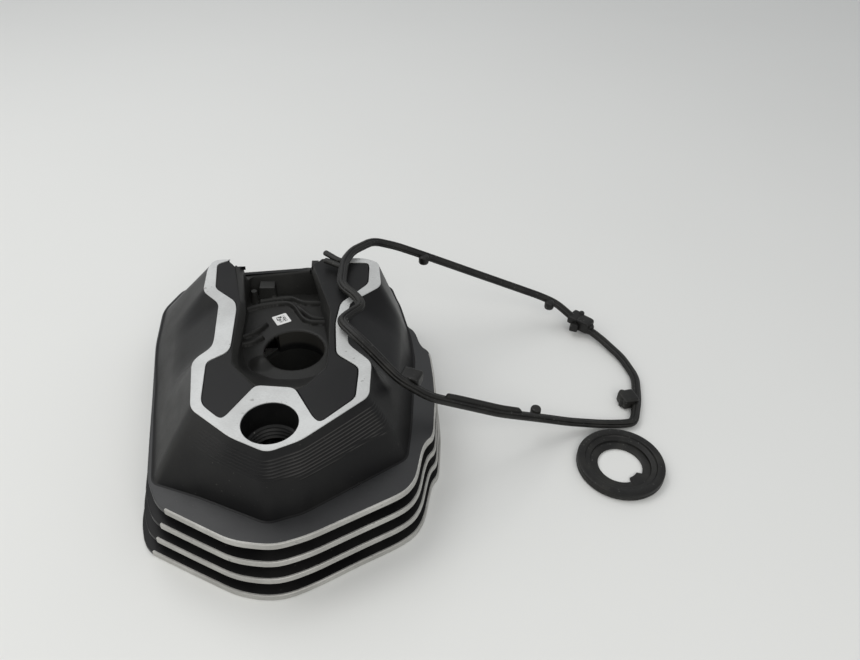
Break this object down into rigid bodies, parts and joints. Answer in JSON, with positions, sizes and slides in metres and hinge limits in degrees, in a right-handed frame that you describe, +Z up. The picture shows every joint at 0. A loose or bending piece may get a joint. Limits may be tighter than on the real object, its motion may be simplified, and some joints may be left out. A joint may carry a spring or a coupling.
{
  "type": "finned cylinder-head cover",
  "caption": "Finned cast cylinder-head cover with an oil filler hole and plug-well channel, shown with its loose rim gasket and round plug-well seal.",
  "frame": {"origin": "plug-well and seal-seat axis on the gasket plane, the lowest face of the cover", "axes": "+Z up out of the plug well, +Y towards the rear of the channel, +X to the cover's right side, where the loose gasket and seal lie"},
  "size_m": [0.3694, 0.2576, 0.101],
  "materials": {
    "cast_black": "black satin coat on a casting",
    "pad_black": "smoother black satin coat",
    "milled_bare": "bare milled aluminium, matt",
    "rubber_black": "moulded black rubber",
    "label_white": "white printed film"
  },
  "bodies": {
    "cover": {"dome_shell": "cast_black", "skirt_wall": "cast_black", "base_flange": "cast_black", "deck_plate": "cast_black", "channel_walls": "cast_black", "channel_floor": "cast_black", "channel_beads": "cast_black", "channel_bosses": "cast_black", "plug_well_tube": "cast_black", "filler_neck": "cast_black", "filler_thread": "milled_bare", "fin_1": "cast_black", "fin_2": "cast_black", "fin_3": "cast_black", "fin_4": "cast_black", "fin_edge_1": "milled_bare", "fin_edge_2": "milled_bare", "fin_edge_3": "milled_bare", "fin_edge_4": "milled_bare", "milled_frame": "milled_bare", "pad_front_left": "pad_black", "pad_front_right": "pad_black", "pad_rear_left": "pad_black", "pad_rear_right": "pad_black", "data_label": "label_white"},
    "rim_gasket": {"gasket_bead": "rubber_black", "gasket_lip": "rubber_black", "gasket_lugs": "rubber_black", "gasket_blocks": "rubber_black"},
    "plug_seal": {"plug_seal_ring": "rubber_black", "plug_seal_tongue": "rubber_black"}
  },
  "joints": [
    {"name": "gasket_lift", "type": "slide", "parent": "cover", "child": "rim_gasket", "axis": [0, 0, 1], "range_m": [0, 0.16]},
    {"name": "seal_lift", "type": "slide", "parent": "cover", "child": "plug_seal", "axis": [0, 0, 1], "range_m": [0, 0.06]}
  ]
}
